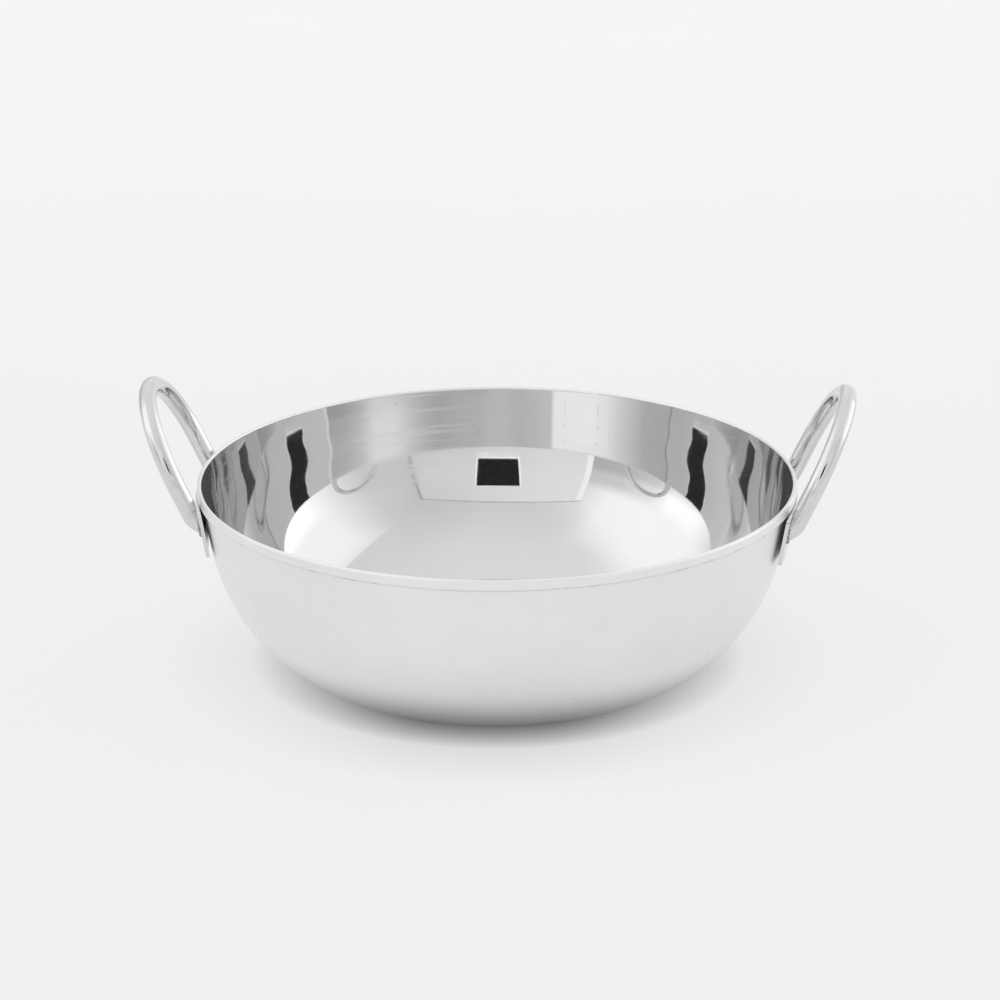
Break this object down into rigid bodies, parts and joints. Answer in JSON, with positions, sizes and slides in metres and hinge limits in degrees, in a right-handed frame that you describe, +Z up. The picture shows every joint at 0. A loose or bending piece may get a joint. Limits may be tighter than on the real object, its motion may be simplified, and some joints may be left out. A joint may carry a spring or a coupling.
{
  "type": "kadai",
  "caption": "Open flat-bottomed cooking bowl of polished steel sheet with a folded rim and ring handles on brackets.",
  "frame": {"origin": "middle of the flat base, on the surface that the bowl stands on", "axes": "+Z up along the bowl's axis, +X towards the right handle, front of the bowl towards -Y"},
  "size_m": [0.314, 0.264, 0.126],
  "materials": {
    "bowl_steel": "mirror polished inside, soft polish outside",
    "bracket_steel": "polished strip with sheared edges",
    "handle_steel": "bright polished rod",
    "weld_steel": "rippled weld metal, buffed"
  },
  "bodies": {
    "root": {"bowl": "bowl_steel", "bracket_left": "bracket_steel", "bracket_right": "bracket_steel", "bracket_welds_left": "weld_steel", "bracket_welds_right": "weld_steel", "handle_left": "handle_steel", "handle_right": "handle_steel", "handle_welds_left": "weld_steel", "handle_welds_right": "weld_steel"}
  },
  "joints": []
}
